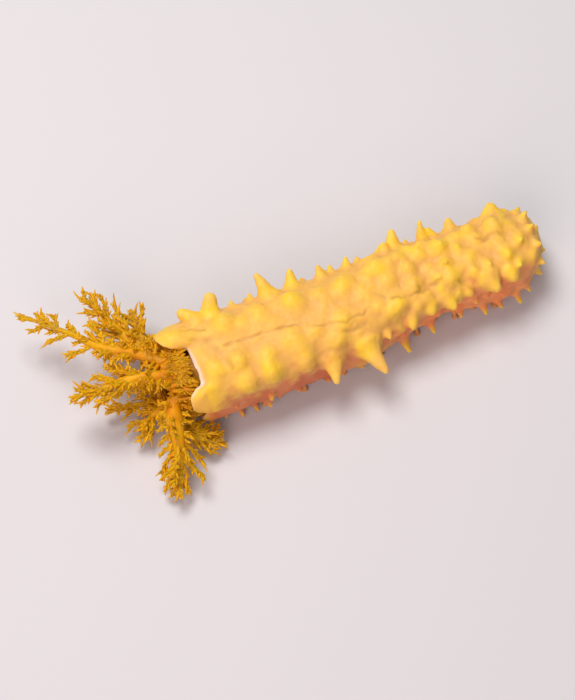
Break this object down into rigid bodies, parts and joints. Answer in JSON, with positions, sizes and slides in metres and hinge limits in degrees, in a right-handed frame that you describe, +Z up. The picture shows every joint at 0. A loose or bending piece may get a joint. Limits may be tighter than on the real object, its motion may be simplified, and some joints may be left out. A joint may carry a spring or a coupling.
{
  "type": "yellow sea cucumber model",
  "caption": "Life-size still model of a yellow sea cucumber lying on its sole, with cone-shaped papillae along the body and a spread crown of branched feeding tentacles.",
  "frame": {"origin": "on the floor, at the middle of the flat disc of the tube foot in the middle of the sole", "axes": "+X along the body towards the tail, +Y towards the animal's right flank, +Z up from the floor"},
  "size_m": [0.055, 0.0245, 0.0092],
  "materials": {
    "body_wall": "soft satin skin",
    "collar_skin": "thin moist skin",
    "tentacle_skin": "moist translucent skin"
  },
  "bodies": {
    "root": {"trunk_front": "body_wall", "trunk_fore_middle": "body_wall", "trunk_hind_middle": "body_wall", "trunk_rear": "body_wall", "anal_cone": "body_wall", "collar": "collar_skin", "mouth": "collar_skin", "tentacle_1_stalk": "tentacle_skin", "tentacle_1_plume": "tentacle_skin", "tentacle_2_stalk": "tentacle_skin", "tentacle_2_middle": "tentacle_skin", "tentacle_2_plume": "tentacle_skin", "tentacle_3_stalk": "tentacle_skin", "tentacle_3_plume": "tentacle_skin", "tentacle_4_stalk": "tentacle_skin", "tentacle_4_plume": "tentacle_skin", "tentacle_5_stalk": "tentacle_skin", "tentacle_5_plume": "tentacle_skin", "tentacle_6": "tentacle_skin", "tentacle_7": "tentacle_skin", "tentacle_8_stalk": "tentacle_skin", "tentacle_8_plume": "tentacle_skin", "tentacle_9_stalk": "tentacle_skin", "tentacle_9_plume": "tentacle_skin", "tentacle_10_stalk": "tentacle_skin", "tentacle_10_plume": "tentacle_skin"}
  },
  "joints": []
}
